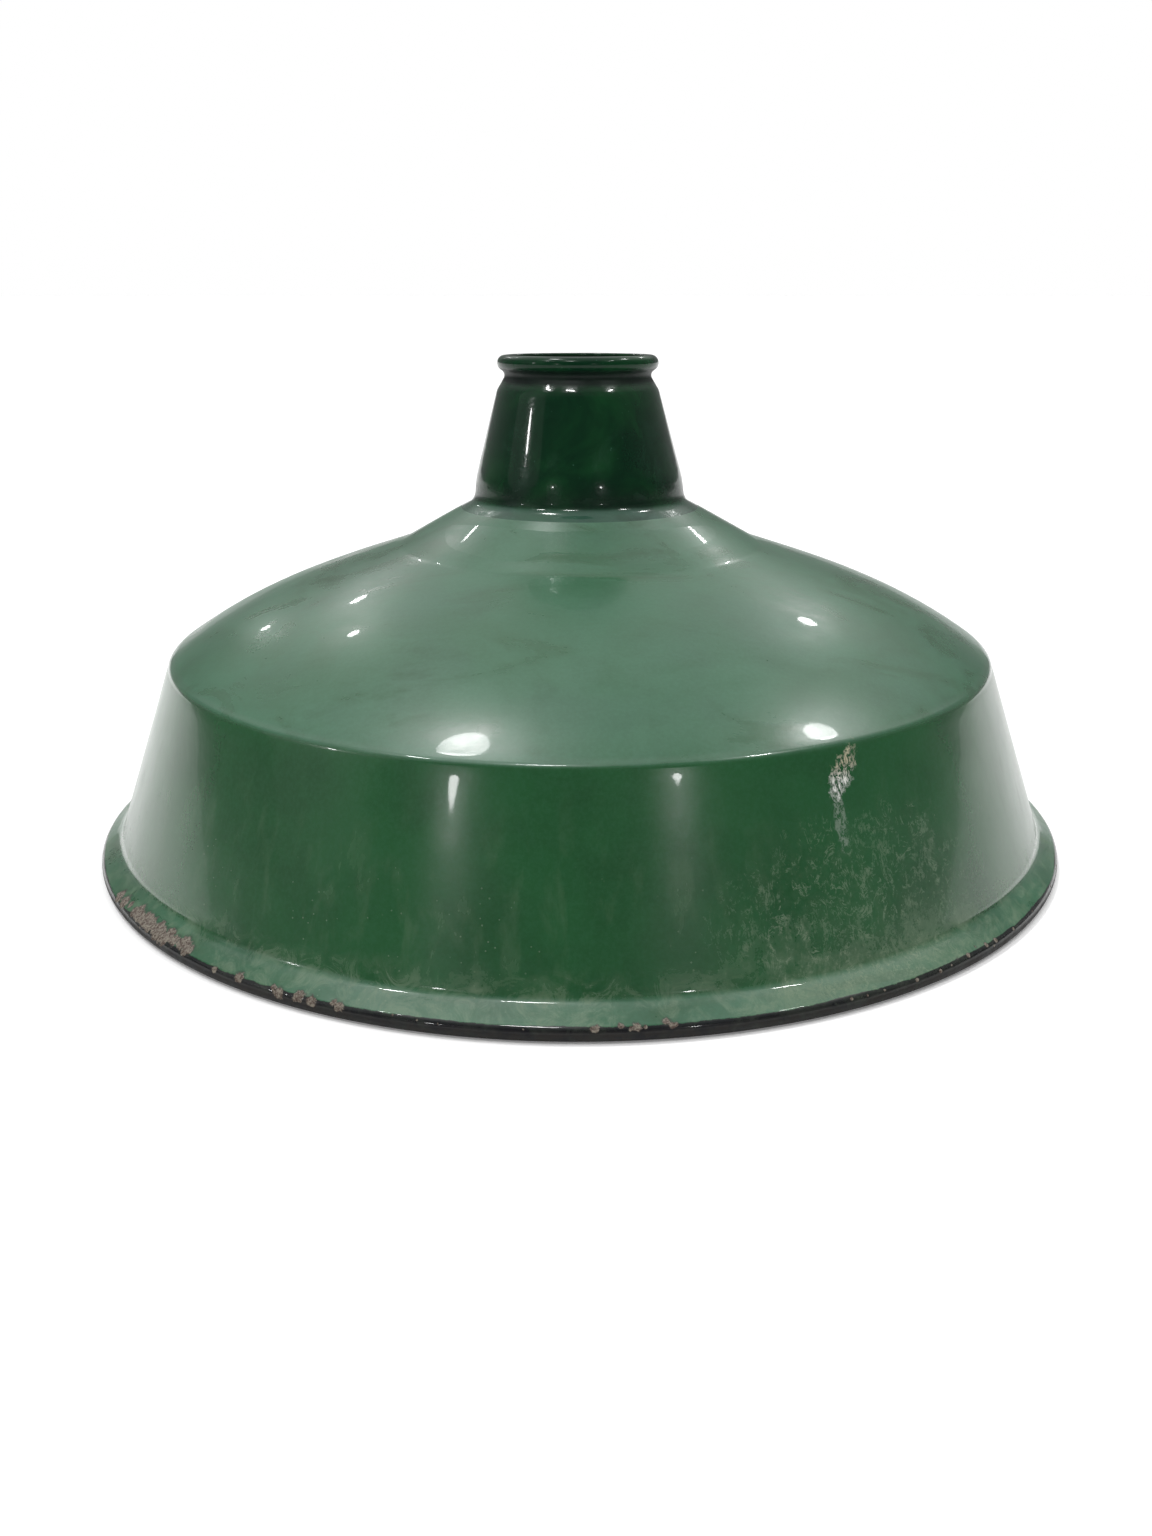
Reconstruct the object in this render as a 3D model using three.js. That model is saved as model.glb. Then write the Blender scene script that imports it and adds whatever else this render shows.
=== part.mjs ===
// Enamelled steel lampshade of the industrial reflector kind, standing on its wired rim.
// A drawn neck with a beaded lip is lapped under the crown of a spun dish. The dish's edge is curled
// round a steel wire. Fired enamel covers the steel: green outside, white inside, black on the rim.
// Millimetres, +Z up. The origin is on the axis, at the level of the rim's lowest flat.
import * as THREE from 'three';

// Overall sizes.
const RIM_DIAMETER = 356;
const HEIGHT = 175;
const LIP_DIAMETER = 57.15; // the 2 1/4 inch lip that a shade holder's three screws grip under

// Sheet, coats and wire.
const STEEL = 0.9;
const ENAMEL = 0.25;
const WIRE_RADIUS = 1.5;
const BOND_GAP = 0.03; // keeps each coat, and the lapped flange, just off the sheet that it covers

// Neck, from the lip down.
const LIP_BEAD = 2.7;
const LIP_EDGE_RADIUS = 24.8;
const GROOVE = { radius: 25.4, z: 168.6, fillet: 2 };
const NECK_TOP = { radius: 28.9, z: 162.9, fillet: 6 };
const HEEL = { radius: 37.2, z: 132.6 };
const NECK_FOOT = { radius: 38, z: 124.8, fillet: 5 };

// Dish, from the neck out.
const CROWN_EDGE_RADIUS = 43; // edge of the hole that the neck stands in
const LAP_RADIUS = 52; // outer edge of the neck's foot flange, under the crown
const BEND = { radius: 66, z: 108.9, fillet: 12 };
const DOME_START_SLOPE = THREE.MathUtils.degToRad(19.5);
const DOME_END_SLOPE = THREE.MathUtils.degToRad(35.5);
const SHOULDER = { radius: 149, z: 71.9, fillet: 4 };
const SKIRT_FOOT = { radius: 170.4, z: 10.1, fillet: 5 };
const FLARE_SLOPE = THREE.MathUtils.degToRad(37);
const RIM_BEAD = 2.95; // outer radius of the curl, black coat included
const COAT_MARGIN = 2; // how far the white coat stops inside the start of the curl

// Facets.
const SEGMENTS = 40;
const ARC_STEP = THREE.MathUtils.degToRad(30);
const WIRE_SIDES = 8;
const DOME_STEPS = 4;

// How far each face lies under the finished outer surface.
const OUTER_COAT_BACK = ENAMEL - BOND_GAP;
const STEEL_OUTSIDE = ENAMEL;
const STEEL_INSIDE = ENAMEL + STEEL;
const INNER_COAT_BACK = STEEL_INSIDE + BOND_GAP;
const INNER_COAT_FACE = STEEL_INSIDE + ENAMEL;

const point = (radius, z) => new THREE.Vector2(radius, z);

/** Points of an arc round a centre, from one angle to another, both in radians from the +radius axis. */
function arcPoints(centre, radius, from, to) {
  const steps = Math.max(1, Math.round(Math.abs(to - from) / ARC_STEP));
  return Array.from({ length: steps + 1 }, (_, i) => {
    const angle = from + ((to - from) * i) / steps;
    return point(centre.x + radius * Math.cos(angle), centre.y + radius * Math.sin(angle));
  });
}

/** Fillet of the corner between two neighbours, as points from one tangent point to the other. */
function filletPoints(before, corner, after, radius) {
  const back = before.clone().sub(corner).normalize();
  const on = after.clone().sub(corner).normalize();
  const halfAngle = Math.acos(back.dot(on)) / 2;
  const centre = corner.clone().addScaledVector(back.clone().add(on).normalize(), radius / Math.sin(halfAngle));
  const start = corner.clone().addScaledVector(back, radius / Math.tan(halfAngle)).sub(centre);
  const end = corner.clone().addScaledVector(on, radius / Math.tan(halfAngle)).sub(centre);
  const turn = Math.atan2(start.cross(end), start.dot(end));
  return arcPoints(centre, radius, start.angle(), start.angle() + turn);
}

/** Outline through the corners {radius, z, fillet}, rounding each one that has a fillet. */
function roundedOutline(corners) {
  const places = corners.map(({ radius, z }) => point(radius, z));
  return corners.flatMap(({ fillet = 0 }, i) =>
    fillet > 0 ? filletPoints(places[i - 1], places[i], places[i + 1], fillet) : [places[i]]);
}

/** The outline moved sideways by a distance, towards the inside of the sheet. */
function inset(outline, distance) {
  const normals = outline.slice(1).map((place, i) => {
    const along = place.clone().sub(outline[i]).normalize();
    return point(along.y, -along.x);
  });
  return outline.map((place, i) => {
    const first = normals[Math.max(0, i - 1)];
    const second = normals[Math.min(normals.length - 1, i)];
    const mitre = first.clone().add(second).divideScalar(1 + first.dot(second));
    return place.clone().addScaledVector(mitre, distance);
  });
}

/** The lip: its turned-in edge, then its bead down to where the slope from the groove meets it. */
function lipOutline() {
  const centre = point(LIP_DIAMETER / 2 - LIP_BEAD, HEIGHT - LIP_BEAD);
  const toCentre = centre.clone().sub(point(GROOVE.radius, GROOVE.z));
  const slope = toCentre.angle() - Math.asin(LIP_BEAD / toCentre.length());
  const edge = point(LIP_EDGE_RADIUS, HEIGHT);
  return [edge, ...arcPoints(centre, LIP_BEAD, Math.PI / 2, slope - Math.PI / 2)];
}

/** Height of the crown's straight slope, between the neck's foot and the bend, at a radius. */
function crownHeight(radius) {
  const share = (radius - NECK_FOOT.radius) / (BEND.radius - NECK_FOOT.radius);
  return THREE.MathUtils.lerp(NECK_FOOT.z, BEND.z, share);
}

/** The dome's shallow curve between the bend and the shoulder, without its two ends. */
function domeCorners() {
  const reach = (SHOULDER.radius - BEND.radius) / 3;
  const curve = new THREE.CubicBezierCurve(
    point(BEND.radius, BEND.z),
    point(BEND.radius + reach, BEND.z - reach * Math.tan(DOME_START_SLOPE)),
    point(SHOULDER.radius - reach, SHOULDER.z + reach * Math.tan(DOME_END_SLOPE)),
    point(SHOULDER.radius, SHOULDER.z));
  return curve.getPoints(DOME_STEPS).slice(1, -1).map(({ x, y }) => ({ radius: x, z: y }));
}

// The finished outer surface, from the lip's edge down to the flare.
const neckCorners = [
  ...lipOutline().map(({ x, y }) => ({ radius: x, z: y })),
  GROOVE,
  NECK_TOP,
  HEEL,
  NECK_FOOT,
  { radius: CROWN_EDGE_RADIUS, z: crownHeight(CROWN_EDGE_RADIUS) },
];
const neckOutline = roundedOutline(neckCorners);

// The rim's curl turns under from the flare and stops short of it, so that the wire's space stays open.
// Its facets lie square to the axis at the bottom and along it at the outside.
const flatShare = Math.cos(ARC_STEP / 2);
const curlCentre = point(RIM_DIAMETER / 2 - RIM_BEAD * flatShare, RIM_BEAD * flatShare);
const curlStart = Math.PI / 2 - FLARE_SLOPE;
const curlOutline = [
  ...arcPoints(curlCentre, RIM_BEAD, curlStart, ARC_STEP / 2).slice(0, -1),
  ...arcPoints(curlCentre, RIM_BEAD, ARC_STEP / 2, ARC_STEP / 2 - 8 * ARC_STEP),
];

const coatEdge = curlOutline[0].clone().add(point(-1, Math.tan(FLARE_SLOPE)).multiplyScalar(COAT_MARGIN));

const dishCorners = [
  { radius: CROWN_EDGE_RADIUS, z: crownHeight(CROWN_EDGE_RADIUS) },
  { radius: LAP_RADIUS, z: crownHeight(LAP_RADIUS) },
  BEND,
  ...domeCorners(),
  SHOULDER,
  SKIRT_FOOT,
  { radius: coatEdge.x, z: coatEdge.y },
  { radius: curlOutline[0].x, z: curlOutline[0].y },
];
const dishOutline = roundedOutline(dishCorners);

const outline = [...neckOutline.slice(0, -1), ...dishOutline, ...curlOutline.slice(1)];
const crownEdge = neckOutline.length - 1; // places in the outline
const lapEdge = crownEdge + 1;
const flareEnd = crownEdge + dishOutline.length - 1;

/** Part of the finished surface, moved to a depth under it. The last place is included. */
const surface = (depth, from, to) => inset(outline, depth).slice(from, to + 1);

/** A closed ring between two surfaces that run the same way, turned round the axis. */
function ring(name, outer, inner, material) {
  const section = [...inner, ...outer.slice().reverse(), inner[0]];
  const mesh = new THREE.Mesh(new THREE.LatheGeometry(section, SEGMENTS), material);
  mesh.name = name;
  mesh.rotation.x = Math.PI / 2; // the lathe's axis is Y, the shade's is Z
  return mesh;
}

const steel = new THREE.MeshStandardMaterial({ color: 0x6b6a66, roughness: 0.55, metalness: 0.9 });
const greenEnamel = new THREE.MeshStandardMaterial({ color: 0x1f4a2c, roughness: 0.15, metalness: 0 });
const whiteEnamel = new THREE.MeshStandardMaterial({ color: 0xe6e4da, roughness: 0.15, metalness: 0 });
const blackEnamel = new THREE.MeshStandardMaterial({ color: 0x17171a, roughness: 0.2, metalness: 0 });

/** The neck's steel: flush with the crown outside, with its foot flange joggled down under it. */
function neckSteel() {
  const wall = surface(STEEL_OUTSIDE, 0, crownEdge);
  const flange = surface(STEEL_INSIDE + BOND_GAP, crownEdge, lapEdge);
  return ring('neck_steel', [...wall, ...flange], neckInside(STEEL_INSIDE), steel);
}

/** The neck's inner surface, at a depth on the wall and one sheet deeper under the flange. */
function neckInside(depth) {
  const wall = surface(depth, 0, crownEdge - 1);
  const flange = surface(depth + STEEL + BOND_GAP, crownEdge - 1, lapEdge);
  return [...wall, ...flange.slice(1)];
}

/** The steel dish, from the hole in its crown out to the tip of the curl. */
function reflectorSteel() {
  const last = outline.length - 1;
  const outer = surface(STEEL_OUTSIDE, crownEdge, last);
  return ring('reflector_steel', outer, surface(STEEL_INSIDE, crownEdge, last), steel);
}

/** The wire that stiffens the rim, loose inside the curl. */
function rimWire() {
  const turn = Math.PI * 2;
  const section = Array.from({ length: WIRE_SIDES + 1 }, (_, i) => {
    const angle = (turn * (i % WIRE_SIDES)) / WIRE_SIDES;
    return point(curlCentre.x + WIRE_RADIUS * Math.cos(angle), curlCentre.y + WIRE_RADIUS * Math.sin(angle));
  });
  const mesh = new THREE.Mesh(new THREE.LatheGeometry(section, SEGMENTS), steel);
  mesh.name = 'rim_wire';
  mesh.rotation.x = Math.PI / 2;
  return mesh;
}

/** A coat on the outside of the steel, between two places in the outline. */
const outerCoat = (name, from, to, material) =>
  ring(name, surface(0, from, to), surface(OUTER_COAT_BACK, from, to), material);

const shade = new THREE.Group();
shade.add(
  neckSteel(),
  reflectorSteel(),
  rimWire(),
  outerCoat('neck_green_enamel', 0, crownEdge, greenEnamel),
  outerCoat('reflector_green_enamel', crownEdge, flareEnd, greenEnamel),
  outerCoat('rim_black_enamel', flareEnd, outline.length - 1, blackEnamel),
  ring('neck_white_enamel', neckInside(INNER_COAT_BACK), neckInside(INNER_COAT_FACE), whiteEnamel),
  ring('reflector_white_enamel', surface(INNER_COAT_BACK, lapEdge, flareEnd - 1),
    surface(INNER_COAT_FACE, lapEdge, flareEnd - 1), whiteEnamel),
);

export default shade;
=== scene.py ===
import math

import bpy
import numpy as np
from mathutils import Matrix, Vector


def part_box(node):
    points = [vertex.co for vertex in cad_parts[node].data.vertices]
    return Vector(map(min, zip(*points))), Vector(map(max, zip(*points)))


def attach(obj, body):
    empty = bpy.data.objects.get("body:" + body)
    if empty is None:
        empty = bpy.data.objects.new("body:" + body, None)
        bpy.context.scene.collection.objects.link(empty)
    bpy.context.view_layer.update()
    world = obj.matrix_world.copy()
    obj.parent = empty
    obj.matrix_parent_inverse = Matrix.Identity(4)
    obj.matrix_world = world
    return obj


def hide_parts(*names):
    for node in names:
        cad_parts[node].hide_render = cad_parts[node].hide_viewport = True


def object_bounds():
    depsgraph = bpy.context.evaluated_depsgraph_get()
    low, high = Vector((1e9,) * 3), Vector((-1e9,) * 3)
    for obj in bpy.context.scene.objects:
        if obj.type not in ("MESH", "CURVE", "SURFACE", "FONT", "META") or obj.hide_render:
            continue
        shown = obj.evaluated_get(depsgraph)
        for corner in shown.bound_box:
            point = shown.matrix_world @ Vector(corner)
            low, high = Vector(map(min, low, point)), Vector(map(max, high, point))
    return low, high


# An old industrial lampshade in enamelled steel, standing on its rim. Metres, +Z up, camera on the -Y side.
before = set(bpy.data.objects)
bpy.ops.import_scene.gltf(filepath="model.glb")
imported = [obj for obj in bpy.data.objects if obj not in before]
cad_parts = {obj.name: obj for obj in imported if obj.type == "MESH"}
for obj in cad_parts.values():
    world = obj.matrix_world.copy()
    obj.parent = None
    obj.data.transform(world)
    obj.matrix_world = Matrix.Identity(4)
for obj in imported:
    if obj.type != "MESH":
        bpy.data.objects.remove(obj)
cad_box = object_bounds()

MM = 0.001
DEGREE = math.pi / 180

# ---------------------------------------------------------------- sizes
HEIGHT = cad_box[1].z
RIM_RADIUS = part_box("rim_black_enamel")[1].x

STEEL = 0.9 * MM
ENAMEL = 0.25 * MM
BOND_GAP = 0.03 * MM
SHEET = STEEL + 2 * ENAMEL
STEEL_OUTSIDE = ENAMEL  # depths under the finished outer surface
STEEL_INSIDE = ENAMEL + STEEL
FLANGE_INSIDE = STEEL_INSIDE + BOND_GAP + STEEL

LIP_RADIUS = 28.575 * MM
LIP_BEAD = 2.7 * MM
LIP_EDGE = 24.8 * MM
GROOVE = (25.4 * MM, 168.6 * MM)
NECK_TOP = (28.9 * MM, 162.9 * MM)
HEEL = (37.2 * MM, 132.6 * MM)
NECK_FOOT = (38 * MM, 124.8 * MM)
CROWN_EDGE = 43 * MM
LAP = 52 * MM
BEND = (66 * MM, 108.9 * MM)
SHOULDER = (149 * MM, 71.9 * MM)
SKIRT_FOOT = (170.4 * MM, 10.1 * MM)
DOME_START_SLOPE = 19.5 * DEGREE
DOME_END_SLOPE = 35.5 * DEGREE
FLARE_SLOPE = 37 * DEGREE
RIM_BEAD = 2.95 * MM
WIRE = 1.5 * MM
CURL_TIP = -225 * DEGREE

GROOVE_FILLET = 2 * MM
NECK_TOP_FILLET = 6 * MM
HEEL_FILLET = 34 * MM
NECK_FOOT_FILLET = 5 * MM
BEND_FILLET = 12 * MM
SHOULDER_FILLET = 4 * MM
SKIRT_FOOT_FILLET = 5 * MM

NECK_LEAN = 1.6 * DEGREE  # away from the camera
NECK_SHIFT = 0.8 * MM  # to the camera's left, at the lip
CHIP_DEPTH = 0.08 * MM

# How finely the meshes follow the shape.
ARC_STEP = 7 * DEGREE
DOME_POINTS = 21
NECK_GAP = 1.2 * MM
DISH_GAP = 3.4 * MM
FLARE_GAP = 0.65 * MM
DISH_SEGMENTS = 1240
RIM_SEGMENTS = 1800
PLAIN_SEGMENTS = 620
HIDDEN_SEGMENTS = 240
CREASE = 40 * DEGREE


# ---------------------------------------------------------------- outlines
def arc(centre, radius, start, end):
    """Points of an arc, from one angle to another, in the plane of radius and height."""
    count = max(2, round(abs(end - start) / ARC_STEP)) + 1
    angles = np.linspace(start, end, count)
    return np.column_stack((centre[0] + radius * np.cos(angles), centre[1] + radius * np.sin(angles)))


def unit(vector):
    """The vector, one long."""
    return np.asarray(vector, float) / np.linalg.norm(vector)


def fillet(before, corner, after, radius):
    """The corner between two neighbours, rounded."""
    corner = np.asarray(corner, float)
    back, on = unit(before - corner), unit(after - corner)
    half = math.acos(np.clip(back @ on, -1, 1)) / 2
    centre = corner + unit(back + on) * radius / math.sin(half)
    start = corner + back * radius / math.tan(half) - centre
    end = corner + on * radius / math.tan(half) - centre
    first = math.atan2(start[1], start[0])
    turn = math.atan2(start[0] * end[1] - start[1] * end[0], start @ end)
    return arc(centre, radius, first, first + turn)


def spaced(points, gap):
    """The same outline, with more points where neighbours are further apart than gap."""
    filled = [points[:1]]
    for start, end in zip(points[:-1], points[1:]):
        steps = max(1, math.ceil(np.linalg.norm(end - start) / gap))
        shares = np.linspace(0, 1, steps + 1)[1:, None]
        filled.append(start + (end - start) * shares)
    return np.vstack(filled)


def normals(points):
    """The outline's normals, out of the shade, and longer at a corner, so that insets keep their depth."""
    along = np.diff(points, axis=0)
    along /= np.linalg.norm(along, axis=1)[:, None]
    flat = np.column_stack((-along[:, 1], along[:, 0]))
    first = np.vstack((flat[:1], flat))
    second = np.vstack((flat, flat[-1:]))
    return (first + second) / (1 + np.sum(first * second, axis=1))[:, None]


def inset(points, depth):
    """The outline moved into the sheet by a depth."""
    return points - normals(points) * depth


def lengths(points):
    """How far along the outline each point is."""
    return np.concatenate(([0], np.cumsum(np.linalg.norm(np.diff(points, axis=0), axis=1))))


def crown_point(radius):
    """The place at a radius on the crown's straight slope, between the neck's foot and the bend."""
    share = (radius - NECK_FOOT[0]) / (BEND[0] - NECK_FOOT[0])
    return np.array((radius, NECK_FOOT[1] + share * (BEND[1] - NECK_FOOT[1])))


def lip_outline():
    """The rounded edge, the lip's flat top and its bead, down to the slope out of the groove."""
    edge = arc((LIP_EDGE + SHEET / 2, HEIGHT - SHEET / 2), SHEET / 2, -90 * DEGREE, -270 * DEGREE)
    centre = np.array((LIP_RADIUS - LIP_BEAD, HEIGHT - LIP_BEAD))
    rise = centre - GROOVE
    slope = math.atan2(rise[1], rise[0]) - math.asin(LIP_BEAD / np.linalg.norm(rise))
    return edge, arc(centre, LIP_BEAD, 90 * DEGREE, slope - 90 * DEGREE)


def dome_curve():
    """The dome between the bend and the shoulder: one shallow curve that steepens outwards."""
    start, end = np.array(BEND), np.array(SHOULDER)
    reach = (end[0] - start[0]) / 3
    first = start + reach * np.array((1, -math.tan(DOME_START_SLOPE)))
    second = end + reach * np.array((-1, math.tan(DOME_END_SLOPE)))
    share = np.linspace(0, 1, DOME_POINTS)[:, None]
    rest = 1 - share
    return rest**3 * start + 3 * rest**2 * share * first + 3 * rest * share**2 * second + share**3 * end


LIP_WRAP, LIP_ROUND = lip_outline()
NECK = np.vstack((
    LIP_WRAP,
    LIP_ROUND,
    fillet(LIP_ROUND[-1], GROOVE, NECK_TOP, GROOVE_FILLET),
    fillet(GROOVE, NECK_TOP, HEEL, NECK_TOP_FILLET),
    fillet(NECK_TOP, HEEL, NECK_FOOT, HEEL_FILLET),
    fillet(HEEL, NECK_FOOT, crown_point(CROWN_EDGE), NECK_FOOT_FILLET),
    [crown_point(CROWN_EDGE)],
))
FLANGE = np.vstack((NECK[-1:], [crown_point(LAP)]))
CURL_CENTRE = np.array((RIM_RADIUS - RIM_BEAD, RIM_BEAD))
CURL = arc(CURL_CENTRE, RIM_BEAD, 90 * DEGREE - FLARE_SLOPE, CURL_TIP)
DOME = dome_curve()
DISH = np.vstack((
    [crown_point(CROWN_EDGE), crown_point(LAP)],
    fillet(crown_point(LAP), BEND, DOME[1], BEND_FILLET),
    DOME[1:-1],
    fillet(DOME[-2], SHOULDER, SKIRT_FOOT, SHOULDER_FILLET),
    fillet(SHOULDER, SKIRT_FOOT, CURL[0], SKIRT_FOOT_FILLET),
    CURL[:1],
))


# ---------------------------------------------------------------- noise and unevenness
def waves(places, length, seed, count=24):
    """Smooth noise at places in space, mostly within -1 to 1, whose waves are about that long."""
    draw = np.random.default_rng(seed)
    ways = draw.normal(size=(count, 3))
    ways /= np.linalg.norm(ways, axis=1)[:, None]
    ways *= (2 * math.pi / (length * draw.uniform(0.7, 1.5, count)))[:, None]
    phases = draw.uniform(0, 2 * math.pi, count)
    return np.sin(places @ ways.T + phases).sum(-1) / math.sqrt(2 * count)


def smooth(value, low, high):
    """From 0 at low to 1 at high, easing at both ends."""
    share = np.clip((value - low) / (high - low), 0, 1)
    return share * share * (3 - 2 * share)


def out_of_round(places):
    """The places on a sheet that isn't quite true, in all its layers alike, with a neck that leans."""
    angle = np.arctan2(places[..., 1], places[..., 0])
    share = np.hypot(places[..., 0], places[..., 1]) / RIM_RADIUS
    swell = 0.35 * MM * np.sin(2 * angle + 0.6) + 0.18 * MM * np.sin(3 * angle + 2.1)
    scale = 1 + swell * share / RIM_RADIUS
    warped = places * np.stack((scale, scale, np.ones_like(scale)), axis=-1)
    on_neck = smooth(share * RIM_RADIUS, LAP, NECK_FOOT[0])
    warped[..., 0] -= NECK_SHIFT * on_neck * smooth(places[..., 2], BEND[1], HEIGHT)
    warped[..., 1] += math.sin(NECK_LEAN) * on_neck * (places[..., 2] - NECK_FOOT[1])
    warped[..., 2] -= math.sin(NECK_LEAN) * on_neck * places[..., 1]
    return warped


# ---------------------------------------------------------------- turned pieces
def revolved(rows, angles):
    """Each row, a radius and a height, turned round the axis to every angle."""
    places = np.empty((len(rows), len(angles), 3))
    places[..., 0] = rows[:, :1] * np.cos(angles)
    places[..., 1] = rows[:, :1] * np.sin(angles)
    places[..., 2] = rows[:, 1:]
    return places


def ring_mesh(name, rows, places, stored):
    """A piece that closes the rows of places into a ring, and keeps what is stored at them."""
    grid = np.arange(len(rows) * places.shape[1]).reshape(len(rows), -1)
    below, aside = np.roll(grid, -1, axis=0), np.roll(grid, -1, axis=1)
    corners = np.stack((grid, below, np.roll(below, -1, axis=1), aside), axis=-1).reshape(-1, 4)
    area = np.sum(rows[:, 0] * np.roll(rows[:, 1], -1) - rows[:, 1] * np.roll(rows[:, 0], -1))
    if area > 0:  # the section runs the other way round, so the faces would look inwards
        corners = corners[:, ::-1]

    mesh = bpy.data.meshes.new(name)
    mesh.vertices.add(grid.size)
    mesh.vertices.foreach_set("co", places.reshape(-1))
    mesh.loops.add(corners.size)
    mesh.loops.foreach_set("vertex_index", np.ascontiguousarray(corners).reshape(-1).astype(np.int32))
    mesh.polygons.add(len(corners))
    mesh.polygons.foreach_set("loop_start", np.arange(0, corners.size, 4, dtype=np.int32))
    mesh.update(calc_edges=True)
    mesh.shade_smooth()
    mesh.set_sharp_from_angle(angle=CREASE)
    for mark, values in stored.items():
        mesh.attributes.new(mark, "FLOAT", "POINT").data.foreach_set("value", values.reshape(-1))
    piece = bpy.data.objects.new(name, mesh)
    bpy.context.scene.collection.objects.link(piece)
    return piece


def turned(name, face, back, segments, relief=None, marks=None):
    """A closed ring: its section runs along the face and returns along the back.

    relief gives how far each place of the face stands out. marks gives numbers to store there, by name.
    """
    rows = np.vstack((face, back[::-1]))
    angles = np.linspace(0, 2 * math.pi, segments, endpoint=False)
    places = revolved(rows, angles)
    along = lengths(face)
    stored = {}
    if marks:
        for mark, values in marks(places[:len(face)], angles, along).items():
            stored[mark] = np.zeros((len(rows), segments))
            stored[mark][:len(face)] = values
    if relief:
        on_face = {mark: values[:len(face)] for mark, values in stored.items()}
        lift = relief(places[:len(face)], along, on_face)
        places[:len(face)] += revolved(normals(face), angles) * lift[..., None]
    return ring_mesh(name, rows, out_of_round(places), stored)


def placed(piece, node, material):
    """Gives a piece its body and its material, and hides the CAD node that it stands for."""
    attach(piece, "root")
    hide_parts(node)
    piece.data.materials.append(material)
    return piece


# ---------------------------------------------------------------- wear on the rim
def worn_stretch(draw, middle, spread, count, along, size):
    """Chips gathered round one place on the rim: the angle, place along the bead and radius of each.

    middle and spread are in degrees.
    """
    return list(zip(
        draw.normal(middle * DEGREE, spread * DEGREE, count),
        draw.normal(along, 0.7 * MM, count),
        size * draw.uniform(0.5, 1.15, count),
    ))


def rim_chips():
    """All the chips. A place along the bead counts from the end of the flare.

    The first four stretches are in front, the next two behind, and the last is strewn all round.
    """
    draw = np.random.default_rng(11)
    return (
        worn_stretch(draw, -141, 5.0, 42, -1.3 * MM, 2.6 * MM)
        + worn_stretch(draw, -117.5, 5.0, 8, 0.5 * MM, 1.8 * MM)
        + worn_stretch(draw, -87, 2.6, 9, 0.4 * MM, 1.2 * MM)
        + worn_stretch(draw, -48, 9, 5, 0.7 * MM, 0.9 * MM)
        + worn_stretch(draw, 62, 5, 12, -0.2 * MM, 2.0 * MM)
        + worn_stretch(draw, 146, 7, 8, 0.4 * MM, 1.7 * MM)
        + worn_stretch(draw, 0, 90, 50, 1.0 * MM, 0.6 * MM)
    )


def chip_marks(angles, along):
    """How far each place lies inside a chip: 1 at a chip's middle, one half at its edge, 0 outside.

    along counts from the end of the flare.
    """
    depth = np.zeros((len(along), len(angles)))
    for angle, where, size in rim_chips():
        aside = np.angle(np.exp(1j * (angles - angle))) * RIM_RADIUS
        near = np.abs(aside) < 2 * size
        distance = np.hypot(aside[near][None, :], (along - where)[:, None]) / size
        depth[:, near] = np.maximum(depth[:, near], np.clip(1 - distance / 2, 0, 1))
    return depth


def black_marks(places, along):
    """Where the rim's black coat lies: past a wavering line near the flare's end. One half on the line."""
    line = 0.1 * MM + 0.35 * MM * waves(places, 30 * MM, 31) + 0.16 * MM * waves(places, 5 * MM, 32)
    return np.clip(0.5 + (along[:, None] - line) / (2 * MM), 0, 1)


# ---------------------------------------------------------------- relief of the outer coats
def chip_pits(stored):
    """How deep the chips are: shallow enough that a dented face stays above the coat's back."""
    return smooth(stored["chip"], 0.4, 0.62) * CHIP_DEPTH if "chip" in stored else 0


def sheet_ripples(places, along, stored):
    """Faint rings from spinning, broad dents, and the pits of the chips."""
    faint = 0.6 + 0.4 * waves(places, 30 * MM, 41)
    rings = 0.006 * MM * np.sin(2 * math.pi * along / (5.2 * MM))[:, None] * faint
    dents = 0.05 * MM * waves(places, 45 * MM, 42) + 0.018 * MM * waves(places, 16 * MM, 43)
    return rings + dents - chip_pits(stored)


def rim_pits(places, along, stored):
    """The rim's bead has only its chips."""
    return -chip_pits(stored)


# ---------------------------------------------------------------- material building
class Field:
    """A value that varies over a surface: an output in a material's node tree, for arithmetic."""

    def __init__(self, tree, output):
        self.tree = tree
        self.output = output

    def math(self, operation, *others):
        node = self.tree.nodes.new("ShaderNodeMath")
        node.operation = operation
        for socket, value in zip(node.inputs, (self, *others)):
            put(self.tree, socket, value)
        return Field(self.tree, node.outputs[0])

    def __add__(self, other):
        return self.math("ADD", other)

    def __sub__(self, other):
        return self.math("SUBTRACT", other)

    def __mul__(self, other):
        return self.math("MULTIPLY", other)

    def absolute(self):
        return self.math("ABSOLUTE")

    def highest(self, other):
        return self.math("MAXIMUM", other)

    def inverse(self):
        return self * -1 + 1

    def ease(self, low, high):
        """0 below low, 1 above high, easing between them. low may be the higher number."""
        node = self.tree.nodes.new("ShaderNodeMapRange")
        node.interpolation_type = "SMOOTHSTEP"
        down = low > high
        put(self.tree, node.inputs["Value"], self)
        node.inputs["From Min"].default_value = min(low, high)
        node.inputs["From Max"].default_value = max(low, high)
        node.inputs["To Min"].default_value = 1 if down else 0
        node.inputs["To Max"].default_value = 0 if down else 1
        return Field(self.tree, node.outputs["Result"])


def put(tree, socket, value):
    """Links a field to a socket, or sets the socket to a number or colour."""
    if isinstance(value, Field):
        tree.links.new(value.output, socket)
    else:
        socket.default_value = value


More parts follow.
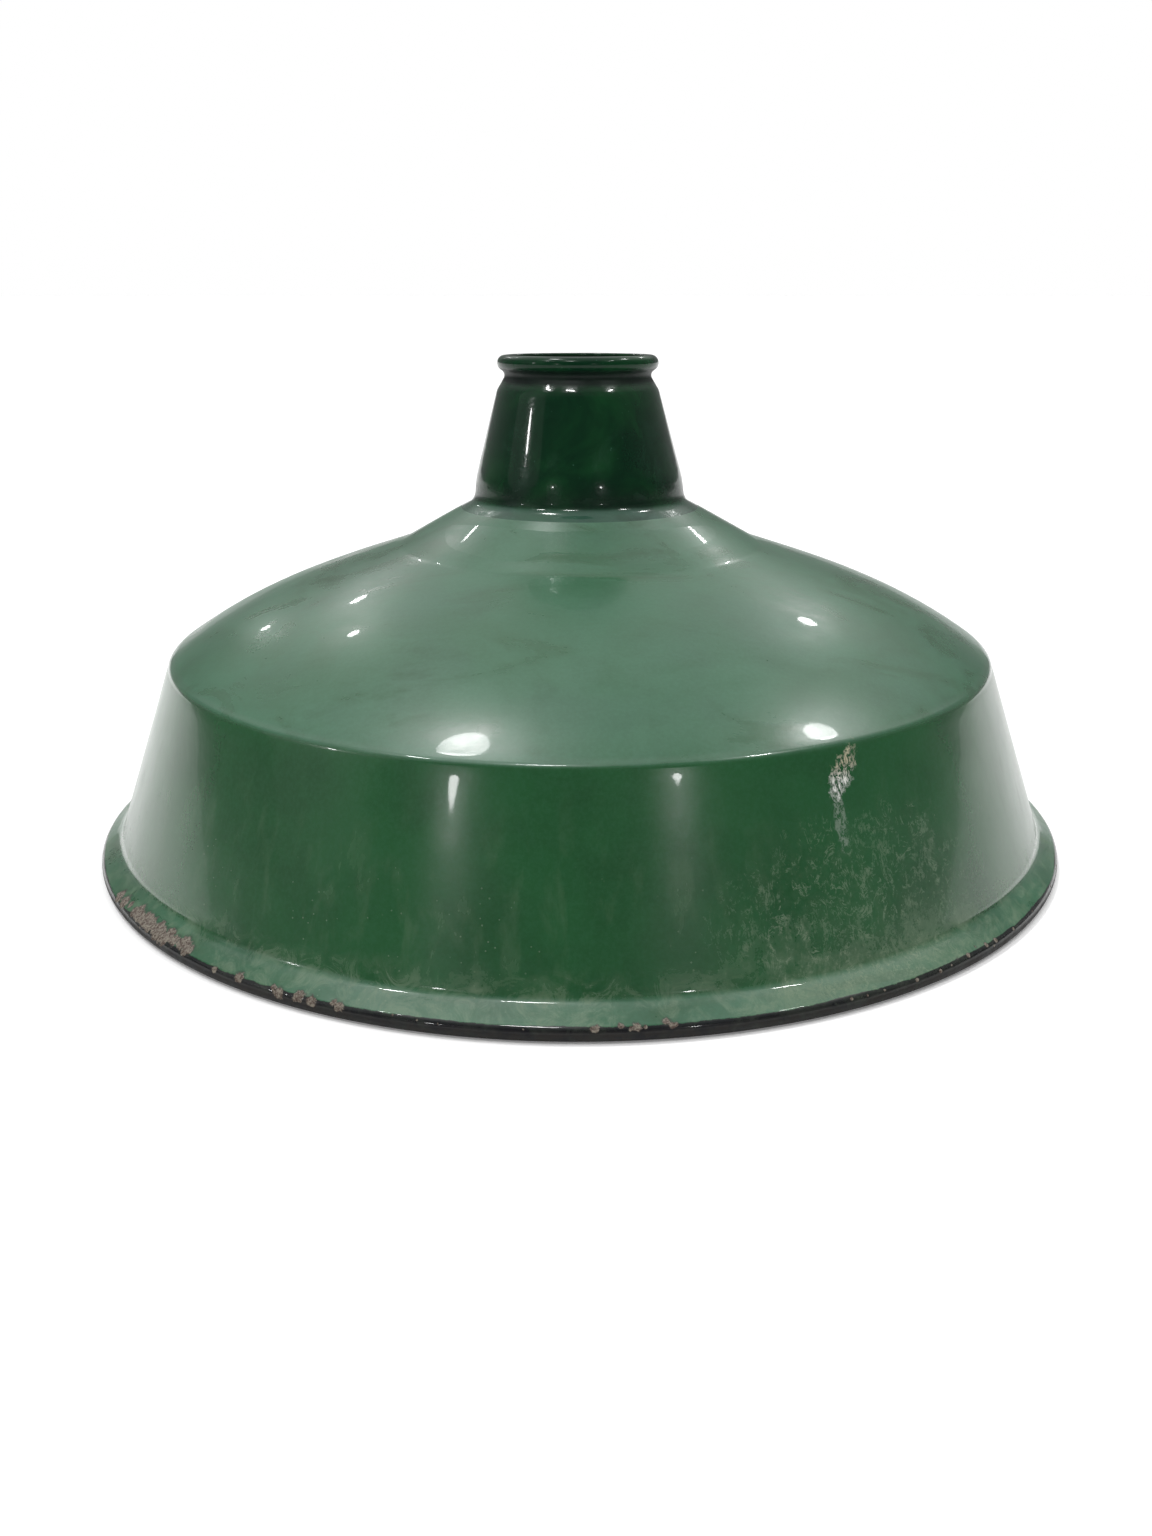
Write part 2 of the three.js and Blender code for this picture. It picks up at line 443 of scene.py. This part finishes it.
class Surface:
    """The nodes of one material, with the fields that its wear is drawn from."""

    def __init__(self, name):
        self.material = bpy.data.materials.new(name)
        self.material.use_nodes = True
        self.tree = self.material.node_tree
        self.shader = self.tree.nodes["Principled BSDF"]
        coordinates = self.tree.nodes.new("ShaderNodeTexCoord")
        self.place = Field(self.tree, coordinates.outputs["Object"])
        split = self.tree.nodes.new("ShaderNodeSeparateXYZ")
        put(self.tree, split.inputs[0], self.place)
        self.x, self.y, self.z = (Field(self.tree, output) for output in split.outputs)
        facing = self.tree.nodes.new("ShaderNodeSeparateXYZ")
        geometry = self.tree.nodes.new("ShaderNodeNewGeometry")
        self.tree.links.new(geometry.outputs["Normal"], facing.inputs[0])
        self.up = Field(self.tree, facing.outputs[2])

    def stretched(self, x=1.0, y=1.0, z=1.0):
        """The place with each axis scaled: a small z draws vertical streaks."""
        node = self.tree.nodes.new("ShaderNodeVectorMath")
        node.operation = "MULTIPLY"
        put(self.tree, node.inputs[0], self.place)
        node.inputs[1].default_value = (x, y, z)
        return Field(self.tree, node.outputs[0])

    def noise(self, length, detail=3.0, roughness=0.55, distortion=0.0, at=None):
        """Noise from 0 to 1, whose lumps are about that long in metres."""
        node = self.tree.nodes.new("ShaderNodeTexNoise")
        put(self.tree, node.inputs["Vector"], at or self.place)
        node.inputs["Scale"].default_value = 1 / length
        node.inputs["Detail"].default_value = detail
        node.inputs["Roughness"].default_value = roughness
        node.inputs["Distortion"].default_value = distortion
        return Field(self.tree, node.outputs[0])

    def specks(self, length, size):
        """Round specks: 1 inside a speck. Their places are about that far apart."""
        node = self.tree.nodes.new("ShaderNodeTexVoronoi")
        put(self.tree, node.inputs["Vector"], self.place)
        node.inputs["Scale"].default_value = 1 / length
        return Field(self.tree, node.outputs["Distance"]).ease(size, size * 0.6)

    def mark(self, name):
        """What the mesh stores under a name."""
        node = self.tree.nodes.new("ShaderNodeAttribute")
        node.attribute_name = name
        return Field(self.tree, node.outputs["Fac"])

    def ahead(self, angle):
        """How far a place is from the axis, in the direction of an angle in degrees."""
        return self.x * math.cos(angle * DEGREE) + self.y * math.sin(angle * DEGREE)

    def aside(self, angle):
        """How far a place is from that direction, along the surface, anticlockwise from above."""
        return self.y * math.cos(angle * DEGREE) - self.x * math.sin(angle * DEGREE)

    def patch(self, angle, height, half_width, half_height, ragged=0.0, grain=4 * MM, lean=0.0):
        """A soft-edged patch centred at an angle and a height. lean slants it to the right."""
        rise = self.z - height
        across = (self.aside(angle) - rise * lean) * (1 / half_width)
        up = rise * (1 / half_height)
        distance = (across * across + up * up).math("SQRT")
        if ragged:
            distance = distance + (self.noise(grain, 4) - 0.5) * ragged
        return distance.ease(1.0, 0.55) * self.ahead(angle).ease(0, 10 * MM)

    def mixed(self, first, second, share):
        """The first colour, with a share of the second."""
        node = self.tree.nodes.new("ShaderNodeMix")
        node.data_type = "RGBA"
        put(self.tree, node.inputs["Factor"], share)
        put(self.tree, node.inputs[6], first)
        put(self.tree, node.inputs[7], second)
        return Field(self.tree, node.outputs[2])

    def bumped(self, height):
        """Bump from a height in millimetres."""
        node = self.tree.nodes.new("ShaderNodeBump")
        node.inputs["Strength"].default_value = 1
        node.inputs["Distance"].default_value = MM
        put(self.tree, node.inputs["Height"], height)
        return Field(self.tree, node.outputs["Normal"])

    def finish(self, colour, roughness, height, others):
        """The material. height is its bump in millimetres, and others has more of its inputs, by name."""
        inputs = {"Base Color": colour, "Roughness": roughness, "Normal": self.bumped(height), **others}
        for name, value in inputs.items():
            put(self.tree, self.shader.inputs[name], value)
        return self.material


def rgb(red, green, blue):
    return (red, green, blue, 1.0)


GREEN = rgb(0.014, 0.082, 0.026)
GREEN_DEEP = rgb(0.011, 0.064, 0.020)
# The neck's greens are darker copies of the reflector's: painted shade on the steep neck.
SHADED_NECK_GREEN = rgb(0.005, 0.045, 0.014)
SHADED_NECK_GREEN_DEEP = rgb(0.002, 0.022, 0.009)
BLACK = rgb(0.006, 0.006, 0.008)
# A pale green for dust, bloom and specks, and for the painted sheen on faces that look up.
FILM_AND_SHEEN = rgb(0.19, 0.46, 0.345)
LIME = rgb(0.26, 0.33, 0.22)
SCALE = rgb(0.58, 0.52, 0.35)
SCALE_WHITE = rgb(0.78, 0.80, 0.75)
GRIME = rgb(0.022, 0.020, 0.018)
RUST = rgb(0.078, 0.055, 0.045)
RUST_PALE = rgb(0.24, 0.215, 0.175)
WHITE = rgb(0.78, 0.77, 0.71)
IVORY = rgb(0.66, 0.62, 0.50)
BARE_STEEL = rgb(0.22, 0.20, 0.185)
ENAMEL_IOR = 1.5


def dust_and_sheen_share(coat):
    """A pale layer of old dust on what faces up, wiped thinner in streaks. It also paints the ceiling's
    sheen on the faces that look up.
    """
    wiped = coat.noise(60 * MM, 5, 0.6, 1.0, coat.stretched(z=3)).ease(0.36, 0.62) * 0.42 + 0.62
    smears = coat.noise(34 * MM, 5, 0.6, 1.6, coat.stretched(x=0.4, z=2)).ease(0.50, 0.68) * 0.6
    brushed = coat.noise(9 * MM, 5, 0.65, 0.8, coat.stretched(x=0.22, y=0.6, z=2.5)) * 0.36 - 0.18
    return coat.up.ease(0.42, 0.72) * (wiped - smears + brushed).highest(0.1)


def neck_enamel():
    """The neck's coat, in darker greens that paint the shade on the steep neck, with a smoky bloom, and
    grime with painted shade in its groove and at its foot.
    """
    coat = Surface("neck_enamel")
    deep = coat.noise(26 * MM, 4, 0.6, 0.5).ease(0.32, 0.6)
    # Painted shade: the neck is coloured in its darker greens.
    colour = coat.mixed(SHADED_NECK_GREEN, SHADED_NECK_GREEN_DEEP, deep)
    below_groove = coat.z.ease(HEIGHT - 12 * MM, HEIGHT - 30 * MM)
    bloom = coat.noise(15 * MM, 5, 0.65, 0.8).ease(0.5, 0.75) * below_groove
    # Dust with painted sheen on the up-facing crown below the neck's foot.
    dusty = dust_and_sheen_share(coat) * coat.z.ease(NECK_FOOT[1] + 5 * MM, NECK_FOOT[1]) * 0.12
    colour = coat.mixed(colour, FILM_AND_SHEEN, bloom * 0.025 + dusty)
    specks = coat.specks(2.6 * MM, 0.12) * coat.noise(18 * MM, 2).ease(0.5, 0.6)
    colour = coat.mixed(colour, FILM_AND_SHEEN, specks * 0.10)
    # Painted shade with grime: the groove under the lip and the neck's foot are darkened towards black.
    in_groove = (coat.z - GROOVE[1]).absolute().ease(3.4 * MM, 1.6 * MM)
    at_foot = coat.z.ease(HEEL[1] + 4 * MM, HEEL[1] - 6 * MM) * coat.up.ease(0.62, 0.35)
    groove_grime_and_shade = in_groove.highest(at_foot * 0.5) * (coat.noise(3 * MM, 3) * 0.5 + 0.65)
    colour = coat.mixed(colour, BLACK, groove_grime_and_shade * 0.8)

    roughness = bloom * 0.15 + groove_grime_and_shade * 0.3 + 0.16
    peel = coat.noise(2.0 * MM, 1) * 0.050 + coat.noise(0.9 * MM, 1) * 0.004
    on_lip = coat.z.ease(GROOVE[1], GROOVE[1] + 2.5 * MM)
    dull = (groove_grime_and_shade * 0.9).highest(on_lip * 0.55)
    return coat.finish(colour, roughness, peel, {
        "Coat Weight": (dull * -0.6 + 0.45).highest(0),
        "Coat Roughness": 0.03,
        "Specular IOR Level": 0.16,
        "IOR": ENAMEL_IOR,
    })


def limescale(coat):
    """Dried splashes low on the skirt: fine fern-like wisps, streaks that ran down, and specks.

    The first splash is in front on the right, and two more are behind.
    """
    splashed = coat.patch(-59, 24 * MM, 60 * MM, 34 * MM, 0.8, 26 * MM)
    splashed = splashed.highest(coat.patch(62, 28 * MM, 70 * MM, 30 * MM, 0.8, 26 * MM) * 0.9)
    splashed = splashed.highest(coat.patch(160, 28 * MM, 60 * MM, 30 * MM, 0.8, 26 * MM) * 0.7)
    grain = coat.noise(0.9 * MM, 3, 0.7).ease(0.34, 0.66)
    curl = coat.noise(7 * MM, 6, 0.72, 1.8, coat.stretched(z=0.6))
    wisps = (curl - 0.5).absolute().ease(0.030, 0.0) * coat.noise(4 * MM, 4, 0.6).ease(0.44, 0.62)
    streaks = coat.noise(2.0 * MM, 5, 0.75, 0.4, coat.stretched(z=0.20)).ease(0.50, 0.74) * grain
    haze = coat.noise(5 * MM, 6, 0.78, 0.6).ease(0.38, 0.74) * (grain * 0.5 + 0.5)
    settled = coat.noise(12 * MM, 5, 0.7).ease(0.30, 0.65) * coat.z.ease(30 * MM, 9 * MM)
    settled = settled * (grain * 0.4 + 0.6)
    spray = wisps * 0.38 + streaks * 0.26 + haze * 0.08 + settled * 0.20

    foot = coat.z.ease(20 * MM, 9 * MM) * coat.noise(9 * MM, 6, 0.75, 1.0).ease(0.42, 0.72) * 0.32
    lines = coat.noise(7 * MM, 4, 0.6, 0.3, coat.stretched(z=0.10)).ease(0.50, 0.74)
    runs = lines * coat.z.ease(74 * MM, 30 * MM) * 0.07
    low = coat.z.ease(56 * MM, 18 * MM)
    specks = coat.specks(2.6 * MM, 0.13) * coat.noise(20 * MM, 3).ease(0.48, 0.62) * low * 0.22
    under_shoulder = coat.z.ease(SHOULDER[1] + MM, SHOULDER[1] - 4 * MM)
    return (spray * splashed + foot + runs + specks) * under_shoulder


def mineral_crust(coat):
    """Scale that ran down from one place under the shoulder, in slanting fibres."""
    fibres = coat.noise(1.2 * MM, 5, 0.75, 0.8, coat.stretched(z=0.5)).ease(0.44, 0.58)
    spot = coat.patch(-59.6, 64 * MM, 5.0 * MM, 8.0 * MM, 1.5, 3 * MM, 0.55) * fibres
    run = coat.patch(-60.8, 51 * MM, 2.6 * MM, 12 * MM, 1.1, 3 * MM) * fibres * 0.16
    return spot.highest(run)


def chip_field(coat, ragged):
    """How far a place lies inside a chip, as the mesh has it, but with an uneven edge."""
    mark = coat.mark("chip")
    uneven = (coat.noise(2.6 * MM, 4, 0.7) - 0.5) * 0.8
    return mark + uneven + ragged * mark.ease(0.05, 0.3) * 1.4


def outer_enamel(name, gloss):
    """The reflector's green coat and the black rim, and all that years of use have left on them, with a
    painted sheen where they face up.
    """
    coat = Surface(name)
    ragged = (coat.noise(1.2 * MM, 3, 0.6) - 0.5) * 0.30
    black = (coat.mark("black") + ragged * 1.1).ease(0.44, 0.56)
    green = black.inverse()
    colour = coat.mixed(GREEN, GREEN_DEEP, coat.noise(40 * MM, 4, 0.6).ease(0.38, 0.66))
    colour = coat.mixed(colour, BLACK, black)

    mottle = coat.noise(1.3 * MM, 3, 0.7)
    on_flare = coat.z.ease(SKIRT_FOOT[1] + MM, SKIRT_FOOT[1] - MM)
    # Dust with painted sheen: paler green where the faces look up.
    dust_and_sheen = dust_and_sheen_share(coat) * (on_flare * -0.012 + 0.126) * (mottle * 0.25 + 0.87)
    dusty = mottle.ease(0.35, 0.7) * 0.022 + 0.004
    colour = coat.mixed(colour, FILM_AND_SHEEN, (dust_and_sheen + dusty) * (green * 0.92 + 0.08))
    lime = limescale(coat) * (green * 0.8 + 0.2)
    colour = coat.mixed(colour, LIME, lime)
    crust = mineral_crust(coat)
    colour = coat.mixed(colour, coat.mixed(SCALE_WHITE, SCALE, coat.z.ease(61 * MM, 67 * MM)), crust)

    underside = coat.z.ease(4.5 * MM, 3.0 * MM) * black
    grime = coat.noise(5 * MM, 5, 0.75).ease(0.36, 0.62) * (underside * 0.85 + black * 0.08)
    colour = coat.mixed(colour, GRIME, grime)
    field = chip_field(coat, ragged)
    chip = field.ease(0.48, 0.58)
    rust = coat.mixed(RUST, RUST_PALE, coat.noise(0.9 * MM, 4, 0.75).ease(0.40, 0.60))
    colour = coat.mixed(colour, GRIME, field.ease(0.30, 0.52) * 0.5)
    colour = coat.mixed(colour, rust, chip)

    roughness = coat.noise(30 * MM, 4).ease(0.3, 0.7) * 0.06 + dust_and_sheen * 0.8 + 0.20
    roughness = roughness + lime * 0.6 + crust * 0.4 + grime * 0.2 + underside * 0.3 + chip * 0.5
    peel = coat.noise(2.6 * MM, 1) * 0.016 + coat.noise(0.9 * MM, 1) * 0.006
    crystals = crust * (coat.noise(1.1 * MM, 2) * 0.20 + 0.12)
    pitted = chip * coat.noise(0.8 * MM, 3) * 0.22
    at_foot = (coat.z - SKIRT_FOOT[1]).absolute().ease(2.5 * MM, 1.0 * MM)
    at_shoulder = (coat.z - SHOULDER[1]).absolute().ease(2.0 * MM, 0.8 * MM)
    shine = dust_and_sheen * -1.0 + 0.24 + at_foot.highest(at_shoulder) * 0.45 + black * 0.35
    return coat.finish(colour, roughness, peel + lime * 0.02 + crystals + pitted, {
        "Coat Weight": (shine - underside * 0.6 - chip * 0.6).highest(0),
        "Coat Roughness": 0.04,
        "Specular IOR Level": gloss,
        "IOR": ENAMEL_IOR,
    })


def inner_enamel():
    """The white reflecting coat, yellowed and dusty, with the green run over it inside the lip."""
    coat = Surface("inner_enamel")
    colour = coat.mixed(WHITE, IVORY, coat.noise(60 * MM, 4).ease(0.4, 0.75) * 0.6)
    dust = coat.noise(14 * MM, 5, 0.7, 0.8).ease(0.5, 0.8) * 0.3
    specks = coat.specks(9 * MM, 0.07) * coat.noise(30 * MM, 2).ease(0.52, 0.6)
    colour = coat.mixed(colour, GRIME, dust * 0.5)
    colour = coat.mixed(colour, BLACK, specks * 0.8)
    edge = coat.z + (coat.noise(12 * MM, 3) - 0.5) * (4 * MM)
    colour = coat.mixed(colour, GREEN, edge.ease(HEIGHT - 10 * MM, HEIGHT - 9 * MM))
    roughness = dust * 0.8 + 0.16
    peel = coat.noise(2.8 * MM, 1) * 0.02 + coat.noise(25 * MM, 2) * 0.05
    return coat.finish(colour, roughness, peel, {
        "Coat Weight": 0.3,
        "Coat Roughness": 0.05,
        "IOR": ENAMEL_IOR,
    })


def bare_steel():
    """Steel that shows only at cut edges: dull, scaled by firing and rusting."""
    steel = Surface("bare_steel")
    rust = steel.noise(5 * MM, 5, 0.7).ease(0.42, 0.62)
    colour = steel.mixed(BARE_STEEL, RUST, rust)
    grain = steel.noise(0.7 * MM, 3) * 0.03 + rust * steel.noise(1.2 * MM, 3) * 0.1
    return steel.finish(colour, rust * 0.35 + 0.5, grain, {"Metallic": rust.inverse()})


# ---------------------------------------------------------------- the shade
def neck_coat(material):
    """The neck's green coat, over the lip and down to the crown."""
    face, back = spaced(NECK, NECK_GAP), inset(NECK, ENAMEL - BOND_GAP)
    coat = turned("neck_green_coat", face, back, PLAIN_SEGMENTS, sheet_ripples)
    placed(coat, "neck_green_enamel", material)


def dish_coat(material):
    """The reflector's green coat, finer near the rim, where it is chipped."""
    face = spaced(DISH, DISH_GAP)
    flare = np.searchsorted(-face[:, 1], -SKIRT_FOOT[1])
    face = np.vstack((face[:flare], spaced(face[flare:], FLARE_GAP)))
    back = inset(DISH[::3], ENAMEL - BOND_GAP)

    def marks(places, angles, along):
        before_rim = along - along[-1]
        return {"chip": chip_marks(angles, before_rim), "black": black_marks(places, before_rim)}

    coat = turned("reflector_green_coat", face, back, DISH_SEGMENTS, sheet_ripples, marks)
    placed(coat, "reflector_green_enamel", material)


def rim_coat(material):
    """The black coat on the curl."""
    def marks(places, angles, along):
        return {"chip": chip_marks(angles, along), "black": black_marks(places, along)}

    back = inset(CURL, ENAMEL - BOND_GAP)[::3]
    coat = turned("rim_black_coat", CURL, back, RIM_SEGMENTS, rim_pits, marks)
    placed(coat, "rim_black_enamel", material)


def steel_parts(material):
    """The two pressings and the rim's wire."""
    body = NECK[len(LIP_WRAP):]
    outside = np.vstack((inset(body, STEEL_OUTSIDE), inset(FLANGE, STEEL_INSIDE + BOND_GAP)))
    inside = np.vstack((inset(body, STEEL_INSIDE)[:-1], inset(FLANGE, FLANGE_INSIDE)))
    placed(turned("neck_pressing", outside, inside, HIDDEN_SEGMENTS), "neck_steel", material)

    sheet = np.vstack((DISH, CURL[1:]))
    outside, inside = inset(sheet, STEEL_OUTSIDE), inset(sheet, STEEL_INSIDE)
    dish = turned("reflector_pressing", outside, inside, HIDDEN_SEGMENTS)
    placed(dish, "reflector_steel", material)

    wire = arc(CURL_CENTRE, WIRE, 0, -180 * DEGREE)
    other = arc(CURL_CENTRE, WIRE, 0, 180 * DEGREE)[1:-1]
    placed(turned("rim_wire_ring", wire, other, HIDDEN_SEGMENTS), "rim_wire", material)


def inner_coats(material):
    """The white coats inside the neck, with its flange, and inside the reflector."""
    body = NECK[len(LIP_WRAP) - 1:]

    def path(depth):
        return np.vstack((inset(body, STEEL_INSIDE + depth)[:-1], inset(FLANGE, FLANGE_INSIDE + depth)))

    coat = turned("neck_white_coat", path(BOND_GAP), path(ENAMEL), PLAIN_SEGMENTS)
    placed(coat, "neck_white_enamel", material)

    dish = np.vstack(([crown_point(LAP)], DISH[2:]))
    back, face = inset(dish, STEEL_INSIDE + BOND_GAP), inset(dish, STEEL_INSIDE + ENAMEL)
    coat = turned("reflector_white_coat", back, face, PLAIN_SEGMENTS)
    placed(coat, "reflector_white_enamel", material)


# ---------------------------------------------------------------- studio
CAMERA_PLACE = (-1.4 * MM, -539.9 * MM, 203.8 * MM)
CAMERA_DIP = 18.7  # degrees below level
CAMERA_LENS = 34.57  # both in millimetres, as on a real camera
CAMERA_SENSOR = 36
CAMERA_NEAREST = 0.02
FLOOR_REACH = 12
FLOOR_GLOW = 0.16  # so that the floor meets the white behind it without a line


def camera():
    """At the photograph's viewing angle: close, and looking down on the shade."""
    data = bpy.data.cameras.new("camera")
    data.lens = CAMERA_LENS
    data.sensor_width = CAMERA_SENSOR
    data.clip_start = CAMERA_NEAREST
    viewer = bpy.data.objects.new("camera", data)
    viewer.location = CAMERA_PLACE
    viewer.rotation_euler = ((90 - CAMERA_DIP) * DEGREE, 0, 0)
    bpy.context.scene.collection.objects.link(viewer)
    bpy.context.scene.camera = viewer


def floor():
    """A matt white floor that glows a little."""
    mesh = bpy.data.meshes.new("floor")
    corners = [(x * FLOOR_REACH, y * FLOOR_REACH, 0) for x, y in ((-1, -1), (1, -1), (1, 1), (-1, 1))]
    mesh.from_pydata(corners, [], [(0, 1, 2, 3)])
    ground = bpy.data.objects.new("floor", mesh)
    bpy.context.scene.collection.objects.link(ground)
    material = bpy.data.materials.new("floor_paint")
    material.use_nodes = True
    shader = material.node_tree.nodes["Principled BSDF"]
    shader.inputs["Base Color"].default_value = rgb(0.96, 0.96, 0.96)
    shader.inputs["Roughness"].default_value = 1
    shader.inputs["Specular IOR Level"].default_value = 0
    shader.inputs["Emission Color"].default_value = rgb(1, 1, 1)
    shader.inputs["Emission Strength"].default_value = FLOOR_GLOW
    mesh.materials.append(material)


def sky():
    """A bright ceiling over darker walls. The camera itself sees plain white past the floor.

    The ceiling reaches further down behind the shade than in front of it.
    """
    world = bpy.data.worlds.new("studio")
    bpy.context.scene.world = world
    world.use_nodes = True
    tree = world.node_tree
    coordinates = tree.nodes.new("ShaderNodeTexCoord")
    slanted = tree.nodes.new("ShaderNodeVectorMath")
    slanted.operation = "DOT_PRODUCT"
    tree.links.new(coordinates.outputs["Generated"], slanted.inputs[0])
    slanted.inputs[1].default_value = (0, 0.40, 1)
    ramp = tree.nodes.new("ShaderNodeValToRGB")
    tree.links.new(slanted.outputs["Value"], ramp.inputs[0])
    levels = ((0.0, 0.09), (0.2, 0.09), (0.34, 0.23), (0.62, 0.23), (0.76, 0.72), (0.90, 0.94))
    while len(ramp.color_ramp.elements) < len(levels):
        ramp.color_ramp.elements.new(0.5)
    for element, (height, level) in zip(ramp.color_ramp.elements, levels):
        element.position = height
        element.color = rgb(level, level, level)
    background = tree.nodes["Background"]
    tree.links.new(ramp.outputs[0], background.inputs[0])
    plain = tree.nodes.new("ShaderNodeBackground")
    plain.inputs[0].default_value = rgb(1, 1, 1)
    path = tree.nodes.new("ShaderNodeLightPath")
    mix = tree.nodes.new("ShaderNodeMixShader")
    tree.links.new(path.outputs["Is Camera Ray"], mix.inputs[0])
    tree.links.new(background.outputs[0], mix.inputs[1])
    tree.links.new(plain.outputs[0], mix.inputs[2])
    tree.links.new(mix.outputs[0], tree.nodes["World Output"].inputs[0])


def lamp(name, azimuth, elevation, distance, radius, brightness, wide=1):
    """A lamp that faces the shade: round, or stretched sideways that many times.

    Azimuth and elevation are in degrees, seen from the shade. Distance and radius are in metres.
    Brightness is the radiance of its face.
    """
    data = bpy.data.lights.new(name, "AREA")
    data.shape = "ELLIPSE"
    data.size = 2 * radius * wide
    data.size_y = 2 * radius
    data.energy = brightness * math.pi * math.pi * radius**2 * wide
    light = bpy.data.objects.new(name, data)
    level = math.cos(elevation * DEGREE)
    light.location = (
        distance * level * math.cos(azimuth * DEGREE),
        distance * level * math.sin(azimuth * DEGREE),
        HEIGHT / 2 + distance * math.sin(elevation * DEGREE),
    )
    light.rotation_euler = ((90 - elevation) * DEGREE, 0, (azimuth + 90) * DEGREE)
    bpy.context.scene.collection.objects.link(light)


def sky_light(name, azimuth, elevation, width, strength):
    """A distant round light, as wide as that many degrees, that lights the floor evenly."""
    data = bpy.data.lights.new(name, "SUN")
    data.angle = width * DEGREE
    data.energy = strength
    light = bpy.data.objects.new(name, data)
    light.rotation_euler = ((90 - elevation) * DEGREE, 0, (azimuth + 90) * DEGREE)
    bpy.context.scene.collection.objects.link(light)


def lamps():
    """Two soft ceiling lights and a dim window, and small lamps for the highlights.

    Four lamps are further back, three are low at the front and left, and three slim ones high in front.
    """
    sky_light("ceiling_left", 155, 73, 7.5, 0.75)
    sky_light("ceiling_right", 30, 53, 5.4, 0.38)
    lamp("window", -160, 25, 2.4, 0.9, 0.25)
    lamp("back_left_high", 120, 37, 3.0, 0.035, 90)
    lamp("back_left_mid", 114, 28, 3.0, 0.035, 90)
    lamp("back_left_low", 120, 20, 3.0, 0.03, 60)
    lamp("back_right", 62, 34, 3.0, 0.05, 90)
    lamp("front_left", -120, 16, 2.4, 0.05, 60)
    lamp("front_right", -66, 17, 2.4, 0.05, 60)
    lamp("side_left", -157, 22, 2.4, 0.05, 60)
    lamp("front_high", -105, 60, 2.4, 0.035, 110, 6)
    lamp("front_high_left", -150, 55, 2.4, 0.035, 110, 4)
    lamp("front_high_right", -25, 52, 2.4, 0.035, 110, 4)


camera()
floor()
sky()
lamps()
neck_coat(neck_enamel())
dish_coat(outer_enamel("reflector_enamel", 0.5))
rim_coat(outer_enamel("rim_enamel", 0.2))
steel_parts(bare_steel())
inner_coats(inner_enamel())
bpy.context.scene.view_settings.view_transform = "Standard"
